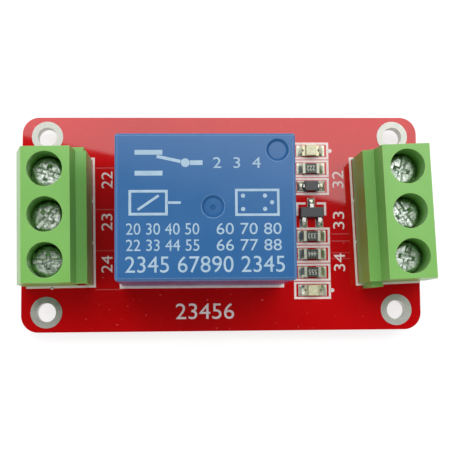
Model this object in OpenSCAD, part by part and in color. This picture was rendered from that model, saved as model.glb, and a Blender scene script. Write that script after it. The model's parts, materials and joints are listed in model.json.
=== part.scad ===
// Single-channel relay module: a printed circuit board with a sugar-cube relay and its
// working parts, two three-way rising-clamp terminal blocks and a surface-mounted driver.
//
// Frame: millimetres. The origin is the centre of the four fixing holes on the underside
// of the board. +X runs along the board towards the input terminals, +Z up through the parts.

/* [Board] */
// Length of the board, along X
board_len = 47.4; // [46:0.1:52]
// Width of the board, along Y
board_w = 25.6; // [24.4:0.1:30]
// Thickness of the laminate
board_t = 1.6; // [1:0.1:2.4]
// Radius of the board's corners
board_corner_r = 2; // [0.5:0.1:2.5]
// Thickness of the copper lands and pads
copper_t = 0.05; // [0.03:0.01:0.1]

/* [Fixing holes] */
// Distance from the board's ends to the hole centres
hole_inset_x = 2.95; // [2.2:0.05:3.4]
// Distance from the board's long edges to the hole centres
hole_inset_y = 2.35; // [2.2:0.05:2.8]
// Finished diameter of the plated holes
hole_d = 2.25; // [1.8:0.05:2.6]
// Wall of the plated barrel
plating_t = 0.06; // [0.03:0.01:0.12]
// Diameter of the tinned ring round each hole
ring_d = 3.7; // [3.2:0.1:4]

/* [Soldered joints] */
// Drilled diameter for the relay's pins
relay_drill_d = 1.3; // [1.2:0.05:1.6]
// Drilled diameter for the terminal blocks' pins
tag_drill_d = 1.6; // [1.5:0.05:1.9]
// Diameter of the copper land round a drilled hole
land_d = 3; // [2.4:0.1:3.4]
// Height of the solder cone under the board
solder_h = 1.2; // [0.8:0.1:1.6]
// How far every pin stands out under the board
pin_out = 2; // [1.7:0.1:3]

/* [Relay case] */
// X of the relay's centre
relay_x = -2.4; // [-3:0.1:-2.2]
// Y of the relay's centre
relay_y = 0.3; // [-1:0.1:1]
// Length of the case, along X
relay_len = 19; // [18.8:0.1:20]
// Width of the case, along Y
relay_w = 15.5; // [15.2:0.1:16.4]
// Height of the case above the board
relay_h = 15.5; // [14.6:0.1:18]
// Radius of the case's upright edges
relay_corner_r = 0.35; // [0.2:0.05:1]
// Bevel round the case's top
relay_bevel = 0.25; // [0.1:0.05:0.4]
// Wall of the case's sides
case_wall = 0.8; // [0.6:0.05:0.9]
// Wall of the case's top
case_top = 0.9; // [0.7:0.05:1.2]
// Diameter of the shallow moulding marks in the top
mark_d = 2.4; // [1.5:0.1:3]
// Depth of the moulding marks
mark_depth = 0.3; // [0.05:0.05:0.4]
// Gap between the case's rim and the board
case_lift = 0.25; // [0.1:0.05:0.5]
// Thickness of the moulded base
base_t = 1.7; // [1.5:0.1:2.2]
// Thickness of the wall between the coil and the contacts
barrier_t = 0.5; // [0.3:0.05:0.6]
// Gap between that wall and the contact strips
barrier_clear = 0.9; // [0.6:0.05:1]
// Gap between that wall's ends and the inside of the case
barrier_end = 2; // [1.6:0.1:3]

/* [Relay coil] */
// Distance between the two rows of outer pins, along Y
pin_row_width = 12; // [11.8:0.1:12.2]
// Distance from the common pin to the coil pins, along X
coil_pin_pitch = 2; // [1.8:0.1:2.2]
// Distance from the case's end to the common pin
common_pin_inset = 2.2; // [2:0.05:2.4]
// Distance from the case's other end to the contact pins
contact_pin_inset = 2.6; // [2.4:0.05:2.8]
// Diameter of the coil pins
coil_pin_d = 0.7; // [0.5:0.05:0.8]
// Gap between the coil pins' centres and the bobbin's flanges
flange_clear = 0.6; // [0.5:0.05:0.8]
// Depth that the winding lies below the flanges' edges
winding_sunk = 0.3; // [0.2:0.05:1]
// Thickness of the bobbin's flanges
flange_t = 0.8; // [0.5:0.1:1.2]
// Wall of the bobbin's barrel
barrel_wall = 0.6; // [0.4:0.05:0.9]
// Diameter of the iron core
core_d = 4.4; // [3.6:0.1:5]
// Diameter of the core's pole face
pole_d = 7.2; // [6:0.1:8]
// Thickness of the pole face
pole_t = 0.7; // [0.5:0.1:1]
// Thickness of the yoke
yoke_t = 1.1; // [0.8:0.05:1.2]
// Width of the yoke
yoke_w = 9; // [7:0.1:9.6]

/* [Relay contacts] */
// Thickness of the armature
armature_t = 1; // [0.8:0.05:1.2]
// Angle that the armature stands open at rest
armature_lift = 3; // [2:0.1:3.6]
// Thickness of the contact spring
spring_t = 0.25; // [0.15:0.05:0.3]
// Width of the contact spring
spring_w = 4.2; // [3.4:0.1:5]
// Diameter of the contact buttons
contact_d = 2.4; // [1.8:0.1:2.6]
// Height of the contact buttons
contact_h = 0.4; // [0.3:0.05:0.5]
// Width of the fixed contact strips
strip_w = 2.4; // [2:0.1:2.6]
// Thickness of the fixed contact strips
strip_t = 0.5; // [0.4:0.05:0.6]

/* [Terminal blocks] */
// Distance between neighbouring screws
pole_pitch = 5; // [4.9:0.02:5.1]
// Length of a block, along the row of screws
block_len = 15; // [14.9:0.1:15.6]
// Height of a block above the board
block_h = 10.1; // [9.6:0.1:11.5]
// Distance from the screws' centre line to the foot of the back wall
block_back = 4.4; // [4.2:0.1:5]
// Distance from the screws' centre line to the foot of the wire side
block_front = 3.7; // [3.5:0.1:4.2]
// Distance from the screws' centre line to the top's back edge
top_back = 2.75; // [2.4:0.05:2.9]
// Distance from the screws' centre line to the top's front edge
top_front = 2.6; // [2.2:0.05:3]
// Height of the step in the back wall
step_z = 6.5; // [6:0.1:7]
// Diameter of the screwdriver wells
well_d = 3.9; // [3.8:0.05:4.1]
// Distance from the board's end to the output block's screws
output_inset = 3.9; // [3.8:0.05:4.5]
// Distance from the board's end to the input block's screws
input_inset = 3.25; // [2.6:0.05:3.9]
// Y of the output block's middle screw
output_y = 0.15; // [-0.5:0.05:0.6]
// Y of the input block's middle screw
input_y = 0.35; // [-0.5:0.05:0.6]
// Angle that the output block sits askew in its holes
output_turn = 0.7; // [-1.5:0.1:1.5]
// Angle that the input block sits askew in its holes
input_turn = 2.1; // [-2.4:0.1:2.4]
// How far the joining rib stands out of a block's end
rib_out = 0.6; // [0.4:0.05:0.8]
// Width of the joining rib at its root
rib_w = 1.1; // [0.8:0.05:1.3]
// Height of the joining rib
rib_h = 5.4; // [4:0.1:6]
// Side of the square wire entries
entry_w = 3.4; // [3:0.1:3.6]
// Height of the wire entries' sill above the board
entry_sill = 0.95; // [0.8:0.05:1.2]
// Width of the bevelled mouth round a wire entry
entry_bevel = 0.35; // [0.2:0.05:0.5]

/* [Clamps] */
// Diameter of the screws' thread
screw_d = 2.5; // [2.2:0.1:2.6]
// Diameter of the screws' heads
head_d = 3.6; // [3.2:0.1:3.7]
// Height of the heads at the rim
head_h = 0.95; // [0.7:0.05:1.2]
// Rise of the heads' dome above the rim
dome_h = 0.22; // [0.1:0.02:0.35]
// Width of the driving slots
slot_w = 0.62; // [0.4:0.02:0.8]
// Depth of the driving slots below the head's crown
slot_depth = 0.6; // [0.4:0.05:0.8]
// Side of the clamp cages, across the wire
cage_w = 4; // [3.8:0.05:4.1]
// Length of the clamp cages, along the wire
cage_len = 3.6; // [3:0.1:3.7]
// Thickness of the cages' sides
cage_side = 0.5; // [0.4:0.05:0.6]
// Thickness of the cages' floor
cage_floor = 0.6; // [0.5:0.05:0.7]
// Thickness of the cages' threaded top
cage_top = 0.9; // [0.7:0.05:1]
// How far a cage rises when its screw is driven home
cage_travel = 1.2; // [0.9:0.05:1.3]
// Width of the contact bars in the cages
bar_w = 2.7; // [2.2:0.1:2.8]
// Thickness of the contact bars
bar_t = 0.65; // [0.5:0.05:0.75]
// Width of the contact bars' solder pins
tag_pin_w = 0.9; // [0.7:0.05:1]

/* [Surface-mounted parts] */
// X of the column of small parts
column_x = 10.75; // [10.5:0.05:11.1]
// Distance between neighbouring rows
row_pitch = 2.16; // [2.05:0.01:2.2]
// Y of the row nearest the far edge of the board
top_row_y = 8.72; // [8.4:0.02:9]
// Y of the transistor
transistor_y = 1.2; // [1:0.05:1.4]
// Y of the first resistor below the transistor
low_row_y = -1.6; // [-1.75:0.05:-1.5]
// Length of the chip parts
chip_len = 2; // [1.8:0.05:2.1]
// Width of the chip parts
chip_w = 1.25; // [1.1:0.05:1.35]
// Thickness of the chip resistors
chip_h = 0.5; // [0.4:0.05:0.6]
// Length of the chips' metal ends
cap_len = 0.32; // [0.2:0.02:0.4]
// Thickness of the metal on the chips' ends
cap_t = 0.04; // [0.02:0.01:0.06]
// Thickness of the light-emitting diodes' carriers
led_base_h = 0.35; // [0.25:0.05:0.5]
// Height of the light-emitting diodes' lenses
led_lens_h = 0.5; // [0.3:0.05:0.7]
// Length of the transistor's body
transistor_len = 2.9; // [2.7:0.05:3]
// Width of the transistor's body
transistor_w = 1.3; // [1.2:0.05:1.4]
// Height of the transistor's body
transistor_h = 1; // [0.8:0.05:1.1]
// Distance between the transistor's paired leads
lead_gap = 1.9; // [1.8:0.05:2]
// Length of the diode's body
diode_len = 1.7; // [1.5:0.05:1.8]
// Height of the diode's body
diode_h = 0.9; // [0.7:0.05:1]
// Thickness of the sheet-metal leads
lead_t = 0.14; // [0.1:0.01:0.2]

/* [Fits] */
// Gap round a moulded part inside another
mould_fit = 0.05; // [0.02:0.01:0.1]
// Gap between faces that meet and part again
touch_gap = 0.03; // [0.02:0.01:0.05]
// Radial play of a thread or a turning screw
thread_fit = 0.03; // [0.02:0.01:0.08]

/* [Hidden] */
$fn = 48;

hole_spacing_x = board_len - 2 * hole_inset_x;
hole_spacing_y = board_w - 2 * hole_inset_y;

POLES = 3;
CUT = 1;             // how far a cutting shape runs past the face that it cuts
POLE_ORDER = [1, 0, -1];

// Slot angle of each screw as it was left, first screw at +Y of an unturned block
OUTPUT_SLOT_ANGLES = [-20, 45, 0];
INPUT_SLOT_ANGLES = [75, -60, 70];

// --- Relay, measured from its centre on the top of the board ---
inside_x = relay_len / 2 - case_wall;
inside_y = relay_w / 2 - case_wall;
inside_top = relay_h - case_top;
base_top = case_lift + base_t;
pin_tip = -board_t - pin_out;

common_pin_x = relay_len / 2 - common_pin_inset;
coil_pin_x = common_pin_x - coil_pin_pitch;
contact_x = contact_pin_inset - relay_len / 2;
row_y = pin_row_width / 2;

common_strip_t = 0.4;
common_strip_w = 3;
yoke_back = inside_x - common_strip_t - 4 * mould_fit;
yoke_front = yoke_back - yoke_t;
hinge_x = yoke_back - 2.4 * mould_fit;         // the armature's heel, clear of the spring's leg
barrier_x = contact_x + strip_w / 2 + barrier_clear;
flange_w = 2 * (row_y - flange_clear);
flange_len = yoke_front - barrier_x - barrier_t - 10 * mould_fit;
winding_d = min(flange_len, flange_w) - 2 * winding_sunk;
coil_x = yoke_front - flange_len / 2 - 6 * mould_fit;
armature_end = coil_x - 0.4 * flange_len;

// The pole face is as high as the contact stack leaves room for under the case's top
strip_headroom = 0.2;
blade_rest = armature_t + touch_gap;
rivet_h = 0.25;
stack_h = blade_rest + spring_t + rivet_h;
closed_strip_z = inside_top - strip_headroom - strip_t;
closed_face_z = closed_strip_z - contact_h;
swing_reach = hinge_x - contact_x + contact_d / 2;
pole_z = closed_face_z - touch_gap - stack_h * cos(armature_lift) - swing_reach * sin(armature_lift);
open_face_z = pole_z + blade_rest - contact_h - touch_gap;
open_strip_z = open_face_z - contact_h - strip_t;

core_rivet_d = 0.7 * core_d;
yoke_foot_top = base_top + yoke_t;
lower_flange_top = yoke_foot_top + flange_t;
upper_flange_z = pole_z - pole_t - flange_t;
post_top = lower_flange_top + 1.2;
rivet_d = contact_d / 2;
lug_w = 1.8;
stud_d = 1.2;
leg_drop = 2.6;                                // from the yoke's top to the end of the spring's leg
elbow_drop = 0.6;                              // from the armature's top to the end of the blade's bend
strip_pin_w = 1;

// --- Terminal block, measured from its middle screw on the top of the board ---
bar_top = 3.4;
cage_gap = touch_gap;                          // between the bar and the cage's top when open
cage_top_z = bar_top + cage_gap;
cage_roof = cage_top_z + cage_top;
cage_window = bar_t + 2 * cage_gap + 1.7;
cage_base = cage_top_z - cage_window - cage_floor;
cavity_top = cage_roof + cage_travel + 0.15;
head_z = cavity_top + mould_fit;
cavity_w = cage_w + 0.3;
cavity_front = cage_len / 2 + 0.25;            // half the length of the room for a cage
bar_slot_w = bar_w + 2 * mould_fit;
bar_front = cage_len / 2 - 0.1;
bar_leg = cage_len / 2 + 0.45;
cavity_back = bar_leg + bar_t + mould_fit;
tag_x = bar_leg + bar_t / 2;
wall_lean = 0.12;                              // how much the back wall leans in up to the step
riser_lean = 0.35;                             // how much the wall above the step leans in
step_rise = 0.5;                               // rise of the step's ledge towards the top
shoulder_z = 0.6 * block_h;                    // where the wire side's slope meets its wall
shoulder_in = 0.1;                             // how much the wire side leans in up to its slope

// --- Surface-mounted rows ---
ROW_LED_SUPPLY = top_row_y;
ROW_RESISTOR_1 = top_row_y - row_pitch;
ROW_DIODE = top_row_y - 2 * row_pitch;
ROWS_LOW = [for (i = [0:2]) low_row_y - i * row_pitch];
ROW_LED_RELAY = low_row_y - 3 * row_pitch;
RESISTOR_ROWS = concat([ROW_RESISTOR_1], ROWS_LOW);
LED_ROWS = [ROW_LED_SUPPLY, ROW_LED_RELAY];
pad_len = 1.2;
pad_w = chip_w + 0.1;
pad_mid = chip_len / 2 + 0.1;
seat_z = board_t + copper_t;                   // where a soldered part stands
fillet_run = pad_mid + pad_len / 2 - chip_len / 2 - 0.05;
sot_pad = [0.9, 1.1];
sot_reach = transistor_w / 2 + 0.5;
foot_len = 0.4;

// --- Shared shapes ---

// Flat rectangle with rounded corners, centred
module rounded_rect(len, w, r) {
    square([len - 2 * r, w], center = true);
    square([len, w - 2 * r], center = true);
    for (sx = [-1, 1], sy = [-1, 1]) {
        translate([sx * (len / 2 - r), sy * (w / 2 - r)]) circle(r = r);
    }
}

// Upright block with rounded upright edges
module rounded_block(len, w, r, z, h) {
    translate([0, 0, z]) linear_extrude(h) rounded_rect(len, w, r);
}

// Box given by its lowest corner and its highest corner
module span(low, high) {
    translate(low) cube(high - low);
}

// Extrudes a profile drawn in (x, z) along Y, centred on Y = 0
module along_y(w) {
    translate([0, w / 2, 0]) rotate([90, 0, 0]) linear_extrude(w) children();
}

// Extrudes a profile drawn in (y, z) along X, from x = 0
module along_x(len) {
    rotate([90, 0, 90]) linear_extrude(len) children();
}

// Bent sheet seen from its edge: one leg up from the origin, one leg across at the top
module bent_profile(up, across, t, bend_r) {
    square([t, up - bend_r]);
    translate([bend_r, up - t]) square([across - bend_r, t]);
    translate([bend_r, up - bend_r]) intersection() {
        difference() {
            circle(r = bend_r);
            if (bend_r > t) circle(r = bend_r - t);
        }
        translate([-bend_r, 0]) square(bend_r);
    }
}

// Moulded chip body that tapers from its middle to its top and its foot
module tapered_body(len, w, h, taper) {
    module waist(side) {
        polygon([[-side / 2, h / 2], [-side / 2 + taper, h], [side / 2 - taper, h],
            [side / 2, h / 2], [side / 2 - taper, 0], [-side / 2 + taper, 0]]);
    }
    intersection() {
        along_y(w) waist(len);
        translate([-len / 2, 0, 0]) along_x(len) waist(w);
    }
}

// Solder that climbs an upright face at x = 0 and runs out along +X
module solder_fillet(run, rise, w) {
    steps = 5;
    arc = [for (i = [0:steps]) [run * (1 - sin(90 * i / steps)), rise * (1 - cos(90 * i / steps))]];
    along_y(w) polygon(concat([[0, 0]], [for (p = arc) p]));
}

module at_relay() {
    translate([relay_x, relay_y, board_t]) children();
}

// Turns a part about the armature's heel on the yoke by its lift at rest
module at_armature() {
    at_relay() translate([hinge_x, 0, pole_z]) rotate([0, armature_lift, 0]) children();
}

module at_output(turn = output_turn) {
    translate([-board_len / 2 + output_inset, output_y, board_t]) rotate([0, 0, turn]) children();
}

module at_input(turn = input_turn) {
    translate([board_len / 2 - input_inset, input_y, board_t]) rotate([0, 0, 180 + turn]) children();
}

module at_poles() {
    for (k = POLE_ORDER) translate([0, k * pole_pitch, 0]) children();
}

module at_pole(number) {
    translate([0, POLE_ORDER[number - 1] * pole_pitch, 0]) children();
}

module at_fixing_holes() {
    for (sx = [-1, 1], sy = [-1, 1]) {
        translate([sx * hole_spacing_x / 2, sy * hole_spacing_y / 2, 0]) children();
    }
}

// The relay's five pins, and the three pins of each block where the board is drilled for them
module at_relay_pins() {
    translate([relay_x, relay_y, 0]) {
        translate([common_pin_x, 0, 0]) children();
        for (x = [coil_pin_x, contact_x], s = [-1, 1]) translate([x, s * row_y, 0]) children();
    }
}

module at_output_drills() {
    translate([0, 0, -board_t]) at_output(0) at_poles() translate([tag_x, 0, 0]) children();
}

module at_input_drills() {
    translate([0, 0, -board_t]) at_input(0) at_poles() translate([tag_x, 0, 0]) children();
}

module drill(d) {
    translate([0, 0, -CUT]) cylinder(d = d, h = board_t + 2 * CUT);
}

// --- Board ---

module circuit_board() {
    color("firebrick") difference() {
        rounded_block(board_len, board_w, board_corner_r, 0, board_t);
        at_fixing_holes() drill(hole_d + 2 * plating_t);
        at_relay_pins() drill(relay_drill_d);
        at_output_drills() drill(tag_drill_d);
        at_input_drills() drill(tag_drill_d);
    }
}

module fixing_hole_plating() {
    color("silver") at_fixing_holes() difference() {
        union() {
            cylinder(d = hole_d + 2 * plating_t, h = board_t);
            translate([0, 0, -copper_t]) cylinder(d = ring_d, h = copper_t);
            translate([0, 0, board_t]) cylinder(d = ring_d, h = copper_t);
        }
        drill(hole_d);
    }
}

module land(drill_d) {
    translate([0, 0, -copper_t]) difference() {
        cylinder(d = land_d, h = copper_t);
        translate([0, 0, -CUT]) cylinder(d = drill_d, h = copper_t + 2 * CUT);
    }
}

module pin_lands() {
    color("peru") {
        at_relay_pins() land(relay_drill_d);
        at_output_drills() land(tag_drill_d);
        at_input_drills() land(tag_drill_d);
    }
}

// Solder that fills a drilled hole and makes a cone round the pin under the board
module solder_joint(drill_d) {
    cylinder(d = drill_d, h = board_t);
    translate([0, 0, -copper_t]) cylinder(d = drill_d, h = copper_t);
    translate([0, 0, -copper_t - solder_h]) cylinder(d1 = drill_d, d2 = land_d - 0.2, h = solder_h);
}

// --- Relay: case and base ---

module relay_case() {
    gate_marks = [[0.04 * relay_len, 0], [0.4 * relay_len, 0.385 * relay_w]];
    h = relay_h - case_lift;
    module bevelled(side) {
        polygon([[-side / 2, 0], [side / 2, 0], [side / 2, h - relay_bevel],
            [side / 2 - relay_bevel, h], [-side / 2 + relay_bevel, h], [-side / 2, h - relay_bevel]]);
    }
    color("steelblue") at_relay() difference() {
        translate([0, 0, case_lift]) intersection() {
            rounded_block(relay_len, relay_w, relay_corner_r, 0, h);
            along_y(relay_w) bevelled(relay_len);
            translate([-relay_len / 2, 0, 0]) along_x(relay_len) bevelled(relay_w);
        }
        rounded_block(2 * inside_x, 2 * inside_y, relay_corner_r / 2, 0, inside_top);
        for (p = gate_marks) {
            translate([p.x, p.y, relay_h - mark_depth]) cylinder(d = mark_d, h = CUT);
        }
    }
}

module relay_base() {
    color("midnightblue") at_relay() difference() {
        union() {
            rounded_block(2 * (inside_x - mould_fit), 2 * (inside_y - mould_fit), relay_corner_r / 2,
                case_lift, base_t);
            for (sx = [-1, 1], sy = [-1, 1]) {
                translate([sx * (inside_x - 1), sy * (inside_y - 1), 0]) cylinder(d = 1.2, h = case_lift);
            }
            span([barrier_x, barrier_end - inside_y, base_top],
                [barrier_x + barrier_t, inside_y - barrier_end, upper_flange_z]);
        }
        // Slots for the contact strips, the coil pins and the common strip
        strip_pins(mould_fit);
        coil_pins(mould_fit);
        common_pocket(mould_fit);
    }
}

// The round pins of the coil, grown by a gap for the holes that they pass
module coil_pins(gap) {
    for (s = [-1, 1]) translate([coil_pin_x, s * row_y, pin_tip]) {
        cylinder(d = coil_pin_d + 2 * gap, h = post_top - pin_tip);
    }
}

// The pins of the fixed contact strips, grown in the same way
module strip_pins(gap) {
    half = [strip_pin_w / 2 + gap, strip_t / 2 + gap];
    for (s = [-1, 1]) {
        span([contact_x - half.x, s * row_y - half.y, pin_tip],
            [contact_x + half.x, s * row_y + half.y, base_top]);
    }
}

// Foot and pin of the common strip, grown by a gap for the pocket that holds it
module common_pocket(gap) {
    strip_half = common_strip_w / 2 + gap;
    foot_z = base_top - 0.9;
    pin_half = [common_strip_t / 2 + gap, strip_pin_w / 2 + gap];
    strip_back = yoke_back + common_strip_t;
    span([common_pin_x - pin_half.x, -strip_half, foot_z - gap],
        [strip_back + gap, strip_half, foot_z + common_strip_t + gap]);
    span([strip_back - common_strip_t - gap, -strip_half, foot_z],
        [strip_back + gap, strip_half, base_top + gap]);
    span([common_pin_x - pin_half.x, -pin_half.y, pin_tip - gap],
        [common_pin_x + pin_half.x, pin_half.y, foot_z + gap]);
}

// --- Relay: coil and iron ---

module relay_bobbin() {
    bore_d = core_d + 2 * mould_fit;
    lug_y = row_y + lug_w / 2;
    color("ivory") at_relay() difference() {
        union() {
            translate([coil_x, 0, 0]) {
                rounded_block(flange_len, flange_w, flange_t, yoke_foot_top, flange_t);
                rounded_block(flange_len, flange_w, flange_t, upper_flange_z, flange_t);
                translate([0, 0, yoke_foot_top]) {
                    cylinder(d = bore_d + 2 * barrel_wall, h = upper_flange_z - yoke_foot_top);
                }
            }
            // Lugs that hold the coil pins beside the lower flange
            span([coil_pin_x - lug_w / 2, -lug_y, yoke_foot_top],
                [coil_pin_x + lug_w / 2, lug_y, lower_flange_top]);
        }
        translate([coil_x, 0, 0]) cylinder(d = bore_d, h = relay_h);
        coil_pins(mould_fit);
    }
}

module relay_winding() {
    inner_r = core_d / 2 + mould_fit + barrel_wall;
    color("chocolate") at_relay() translate([coil_x, 0, 0]) rotate_extrude() {
        translate([inner_r, lower_flange_top]) {
            square([winding_d / 2 - inner_r, upper_flange_z - lower_flange_top]);
        }
    }
}

// Turned core: a riveted end in the yoke's foot, the shank in the bobbin and the pole face
module relay_core() {
    color("lightgray") at_relay() translate([coil_x, 0, 0]) rotate_extrude() {
        polygon([[0, base_top], [core_rivet_d / 2, base_top], [core_rivet_d / 2, yoke_foot_top],
            [core_d / 2, yoke_foot_top], [core_d / 2, pole_z - pole_t], [pole_d / 2, pole_z - pole_t],
            [pole_d / 2, pole_z], [0, pole_z]]);
    }
}

module relay_yoke() {
    foot_end = coil_x - core_d / 2 - 1;
    color("gray") at_relay() difference() {
        union() {
            translate([yoke_back, 0, pole_z]) rotate([0, 180, 0]) along_y(yoke_w) {
                bent_profile(pole_z - base_top, yoke_back - foot_end, yoke_t, yoke_t);
            }
            common_strip_studs(0);
            spring_leg_studs(0);
        }
        translate([coil_x, 0, 0]) cylinder(d = core_rivet_d, h = relay_h / 2);
    }
}

// Studs on the yoke's back that rivet the common strip to it
module common_strip_studs(gap) {
    for (share = [0.35, 0.6]) {
        translate([yoke_back - CUT / 2, 0, share * pole_z]) rotate([0, 90, 0]) {
            cylinder(d = stud_d + 2 * gap, h = common_strip_t + CUT / 2);
        }
    }
}

module relay_common_strip() {
    top = 0.7 * pole_z;
    color("darkgoldenrod") at_relay() difference() {
        union() {
            common_pocket(0);
            span([yoke_back, -common_strip_w / 2, base_top],
                [yoke_back + common_strip_t, common_strip_w / 2, top]);
        }
        common_strip_studs(mould_fit / 2);
    }
}

module relay_coil_pins() {
    color("silver") at_relay() coil_pins(0);
}

// --- Relay: contacts ---

// Fixed strip: a pin through the base, an upright and an arm that reaches over the middle
module fixed_strip(side, arm_z) {
    reach = row_y + strip_t / 2 + contact_d / 2;
    color("darkgoldenrod") at_relay() difference() {
        union() {
            translate([contact_x - strip_w / 2, side * (row_y + strip_t / 2), base_top]) {
                mirror([0, side > 0 ? 1 : 0, 0]) along_x(strip_w) {
                    bent_profile(arm_z + strip_t - base_top, reach, strip_t, strip_t * 1.6);
                }
            }
            span([contact_x - strip_pin_w / 2, side * row_y - strip_t / 2, pin_tip],
                [contact_x + strip_pin_w / 2, side * row_y + strip_t / 2, base_top]);
        }
        translate([contact_x, 0, 0]) cylinder(d = rivet_d, h = relay_h);
    }
}

// Riveted contact button: a head that touches, a stem through the strip and a closed end
module contact_rivet(face_up, strip_thickness, end_h) {
    mirror([0, 0, face_up ? 0 : 1]) {
        cylinder(d = contact_d, h = contact_h);
        translate([0, 0, -strip_thickness]) cylinder(d = rivet_d, h = strip_thickness);
        translate([0, 0, -strip_thickness - end_h]) cylinder(d = rivet_d * 1.6, h = end_h);
    }
}

module relay_open_strip() {
    fixed_strip(-1, open_strip_z);
}

module relay_closed_strip() {
    fixed_strip(1, closed_strip_z);
}

module relay_open_contact() {
    color("gainsboro") at_relay() translate([contact_x, 0, open_strip_z + strip_t]) {
        contact_rivet(true, strip_t, strip_headroom * 0.75);
    }
}

module relay_closed_contact() {
    color("gainsboro") at_relay() translate([contact_x, 0, closed_strip_z]) {
        contact_rivet(false, strip_t, strip_headroom * 0.75);
    }
}

// The moving parts are drawn from the yoke's edge, as they lie when the coil pulls them down
stud_places = [-0.35, -0.6];

module armature_studs(gap) {
    for (share = stud_places) {
        translate([share * (hinge_x - armature_end), 0, blade_rest - CUT / 2]) {
            cylinder(d = stud_d + 2 * gap, h = spring_t + CUT / 2);
        }
    }
}

module relay_armature() {
    heel_bevel = 2 * spring_t;                   // clears the inside of the spring's bend
    color("lightgray") at_armature() {
        along_y(yoke_w) polygon([[armature_end - hinge_x, touch_gap], [0, touch_gap],
            [0, blade_rest - heel_bevel], [-heel_bevel, blade_rest], [armature_end - hinge_x, blade_rest]]);
        armature_studs(0);
    }
}

// Blade of the spring, from the moving contact to its bend behind the armature's heel
module relay_contact_spring() {
    leg_x = yoke_back - hinge_x;
    across = leg_x + spring_t + hinge_x - contact_x + contact_d / 2;
    color("goldenrod") at_armature() difference() {
        translate([leg_x + spring_t, 0, blade_rest - elbow_drop]) mirror([1, 0, 0]) along_y(spring_w) {
            bent_profile(spring_t + elbow_drop, across, spring_t, spring_t * 2);
        }
        armature_studs(mould_fit / 2);
        translate([contact_x - hinge_x, 0, 0]) cylinder(d = rivet_d, h = relay_h);
    }
}

// Leg of the spring, riveted to the yoke's back; the spring flexes between it and the blade
module relay_spring_leg() {
    top = pole_z + blade_rest - elbow_drop - 2 * touch_gap;
    color("goldenrod") at_relay() difference() {
        span([yoke_back, -spring_w / 2, pole_z - leg_drop], [yoke_back + spring_t, spring_w / 2, top]);
        spring_leg_studs(mould_fit / 2);
    }
}

// Studs high on the yoke's back that rivet the spring's leg to it
module spring_leg_studs(gap) {
    for (s = [-1, 1]) {
        translate([yoke_back - CUT / 2, s * spring_w / 4, pole_z - leg_drop / 2]) rotate([0, 90, 0]) {
            cylinder(d = stud_d + 2 * gap, h = spring_t + CUT / 2);
        }
    }
}

module relay_moving_contact() {
    color("gainsboro") at_armature() translate([contact_x - hinge_x, 0, blade_rest]) {
        translate([0, 0, -contact_h]) cylinder(d = contact_d, h = contact_h);
        cylinder(d = rivet_d, h = spring_t);
        translate([0, 0, spring_t]) cylinder(d = contact_d, h = rivet_h);
    }
}

module relay_solder() {
    color("lightsteelblue") difference() {
        at_relay_pins() solder_joint(relay_drill_d);
        at_relay() {
            common_pocket(0);
            coil_pins(0);
            strip_pins(0);
        }
    }
}

// --- Terminal blocks ---

// Section of the housing: leaning back wall, ledge, flat top, sloping shoulder and wire side
module housing_profile() {
    polygon([[block_back, 0], [block_back - wall_lean, step_z], [top_back + riser_lean, step_z + step_rise],
        [top_back, block_h], [-top_front, block_h], [-block_front + shoulder_in, shoulder_z],
        [-block_front, 0]]);
}

// Dovetail that joins a block to its neighbour, seen from above, standing out along +Y
module dovetail(gap, h) {
    root = rib_w / 2 + gap;
    crest = root + rib_out * 0.25;
    middle = block_back - 0.6 - rib_w / 2;
    translate([middle, 0, -gap]) linear_extrude(h + 2 * gap) {
        polygon([[-root, -gap], [-crest, rib_out + gap], [crest, rib_out + gap], [root, -gap]]);
    }
}

// Square tunnel through the wire side, with a mouth that widens out to the face
module wire_entry() {
    face = -block_front;
    inner = face + entry_bevel;
    outer = face - CUT;
    spread = inner - outer;
    half = entry_w / 2;
    sill = entry_sill;
    top = entry_sill + entry_w;
    span([outer, -half, sill], [-cavity_front + CUT, half, top]);
    intersection() {
        along_y(entry_w + 2 * spread) {
            polygon([[inner, sill], [inner, top], [outer, top + spread], [outer, sill - spread]]);
        }
        linear_extrude(block_h) {
            polygon([[inner, -half], [inner, half], [outer, half + spread], [outer, -half - spread]]);
        }
    }
}

module housing() {
    difference() {
        union() {
            along_y(block_len) housing_profile();
            translate([0, block_len / 2, 0]) dovetail(0, rib_h);
        }
        translate([0, -block_len / 2, 0]) dovetail(mould_fit, rib_h);
        at_poles() {
            cylinder(d = well_d, h = block_h + CUT);
            span([-cavity_front, -cavity_w / 2, -CUT], [cavity_front, cavity_w / 2, cavity_top]);
            span([0, -bar_slot_w / 2, -CUT], [cavity_back, bar_slot_w / 2, bar_top + mould_fit]);
            wire_entry();
        }
    }
}

// Combination-head screw with its tip on the contact bar, its thread left plain
module screw(slot_angle) {
    rim_z = head_z + head_h;
    crown_z = rim_z + dome_h;
    flat_r = head_d * 0.3;
    cross_len = head_d * 0.55;
    tip_bevel = 0.1 * screw_d;
    shank = [[0, cage_top_z], [screw_d / 2 - tip_bevel, cage_top_z],
        [screw_d / 2, cage_top_z + tip_bevel], [screw_d / 2, head_z], [head_d / 2, head_z]];
    dome = [for (i = [0:4]) let (a = i * 90 / 4)
        [flat_r + (head_d / 2 - flat_r) * cos(a), rim_z + dome_h * sin(a)]];
    rotate([0, 0, slot_angle]) difference() {
        rotate_extrude() polygon(concat(shank, dome, [[0, crown_z]]));
        translate([-head_d, -slot_w / 2, crown_z - slot_depth]) cube([2 * head_d, slot_w, CUT]);
        translate([-slot_w / 2, -cross_len / 2, crown_z - slot_depth]) cube([slot_w, cross_len, CUT]);
    }
}

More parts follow.
